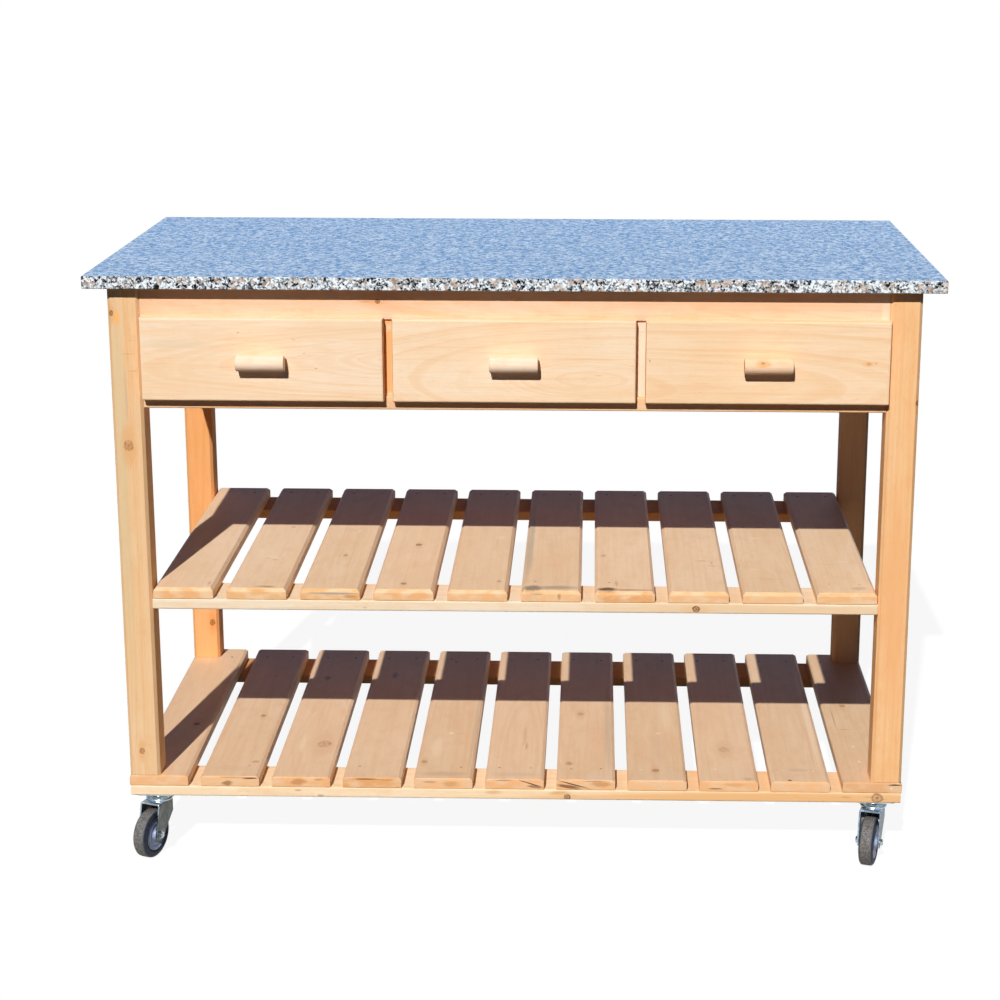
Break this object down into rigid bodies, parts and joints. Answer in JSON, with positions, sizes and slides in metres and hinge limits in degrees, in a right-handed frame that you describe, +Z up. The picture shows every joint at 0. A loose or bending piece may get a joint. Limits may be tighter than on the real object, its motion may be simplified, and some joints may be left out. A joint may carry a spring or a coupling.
{
  "type": "outdoor kitchen unit",
  "caption": "Wheeled outdoor kitchen unit with a granite worktop, a row of wooden drawers and slatted shelves on swivel castors.",
  "frame": {"origin": "on the floor under the middle of the unit's outline, handles included", "axes": "+X along the worktop to the right, +Y away from the drawer fronts, +Z up"},
  "size_m": [1.2, 0.6168, 0.8829],
  "materials": {
    "granite": "polished, finely speckled",
    "leg_wood": "planed softwood, oiled",
    "frame_wood": "planed softwood, oiled",
    "front_wood": "planed pale softwood, oiled",
    "slat_wood": "planed softwood, slightly weathered",
    "rail_wood": "planed softwood, oiled",
    "handle_wood": "turned dowel, oiled",
    "box_wood": "plain planed softwood",
    "zinc": "zinc-plated pressed steel",
    "tyre": "matt solid rubber",
    "wheel_core": "moulded plastic"
  },
  "bodies": {
    "frame": {"granite_top": "granite", "leg_front_left": "leg_wood", "leg_front_right": "leg_wood", "leg_rear_left": "leg_wood", "leg_rear_right": "leg_wood", "front_top_rail": "frame_wood", "front_lower_rail": "frame_wood", "back_apron": "frame_wood", "side_apron_left": "frame_wood", "side_apron_right": "frame_wood", "side_runner_left": "frame_wood", "side_runner_right": "frame_wood", "divider_left": "frame_wood", "divider_right": "frame_wood", "middle_rail_front": "rail_wood", "middle_rail_rear": "rail_wood", "bottom_rail_front": "rail_wood", "bottom_rail_rear": "rail_wood", "middle_slat_01": "slat_wood", "middle_slat_02": "slat_wood", "middle_slat_03": "slat_wood", "middle_slat_04": "slat_wood", "middle_slat_05": "slat_wood", "middle_slat_06": "slat_wood", "middle_slat_07": "slat_wood", "middle_slat_08": "slat_wood", "middle_slat_09": "slat_wood", "middle_slat_10": "slat_wood", "bottom_slat_01": "slat_wood", "bottom_slat_02": "slat_wood", "bottom_slat_03": "slat_wood", "bottom_slat_04": "slat_wood", "bottom_slat_05": "slat_wood", "bottom_slat_06": "slat_wood", "bottom_slat_07": "slat_wood", "bottom_slat_08": "slat_wood", "bottom_slat_09": "slat_wood", "bottom_slat_10": "slat_wood", "bottom_slat_11": "slat_wood", "castor_front_left_plate": "zinc", "castor_front_right_plate": "zinc", "castor_rear_left_plate": "zinc", "castor_rear_right_plate": "zinc"},
    "drawer_left": {"drawer_left_front": "front_wood", "drawer_left_box": "box_wood", "drawer_left_handle": "handle_wood"},
    "drawer_middle": {"drawer_middle_front": "front_wood", "drawer_middle_box": "box_wood", "drawer_middle_handle": "handle_wood"},
    "drawer_right": {"drawer_right_front": "front_wood", "drawer_right_box": "box_wood", "drawer_right_handle": "handle_wood"},
    "fork_front_left": {"castor_front_left_fork": "zinc"},
    "fork_front_right": {"castor_front_right_fork": "zinc"},
    "fork_rear_left": {"castor_rear_left_fork": "zinc"},
    "fork_rear_right": {"castor_rear_right_fork": "zinc"},
    "wheel_front_left": {"castor_front_left_wheel": "tyre"},
    "wheel_front_right": {"castor_front_right_wheel": "tyre"},
    "wheel_rear_left": {"castor_rear_left_wheel": "tyre"},
    "wheel_rear_right": {"castor_rear_right_wheel": "tyre"}
  },
  "joints": [
    {"name": "drawer_left_slide", "type": "slide", "parent": "frame", "child": "drawer_left", "axis": [0, -1, 0], "range_m": [0, 0.35]},
    {"name": "drawer_middle_slide", "type": "slide", "parent": "frame", "child": "drawer_middle", "axis": [0, -1, 0], "range_m": [0, 0.35]},
    {"name": "drawer_right_slide", "type": "slide", "parent": "frame", "child": "drawer_right", "axis": [0, -1, 0], "range_m": [0, 0.35]},
    {"name": "swivel_front_left", "type": "hinge", "parent": "frame", "child": "fork_front_left", "pos_m": [-0.535, -0.2366, 0.085], "axis": [0, 0, 1], "continuous": true},
    {"name": "swivel_front_right", "type": "hinge", "parent": "frame", "child": "fork_front_right", "pos_m": [0.535, -0.2366, 0.085], "axis": [0, 0, 1], "continuous": true},
    {"name": "swivel_rear_left", "type": "hinge", "parent": "frame", "child": "fork_rear_left", "pos_m": [-0.535, 0.2534, 0.085], "axis": [0, 0, 1], "continuous": true},
    {"name": "swivel_rear_right", "type": "hinge", "parent": "frame", "child": "fork_rear_right", "pos_m": [0.535, 0.2534, 0.085], "axis": [0, 0, 1], "continuous": true},
    {"name": "roll_front_left", "type": "hinge", "parent": "fork_front_left", "child": "wheel_front_left", "pos_m": [-0.54508, -0.26218, 0.03589], "axis": [0.9304, -0.3665, 0], "continuous": true},
    {"name": "roll_front_right", "type": "hinge", "parent": "fork_front_right", "child": "wheel_front_right", "pos_m": [0.52719, -0.26297, 0.03589], "axis": [0.9588, -0.284, 0], "continuous": true},
    {"name": "roll_rear_left", "type": "hinge", "parent": "fork_rear_left", "child": "wheel_rear_left", "pos_m": [-0.56243, 0.25148, 0.03589], "axis": [0.0698, -0.9976, 0], "continuous": true},
    {"name": "roll_rear_right", "type": "hinge", "parent": "fork_rear_right", "child": "wheel_rear_right", "pos_m": [0.53883, 0.22617, 0.03589], "axis": [0.9903, 0.1392, 0], "continuous": true}
  ]
}
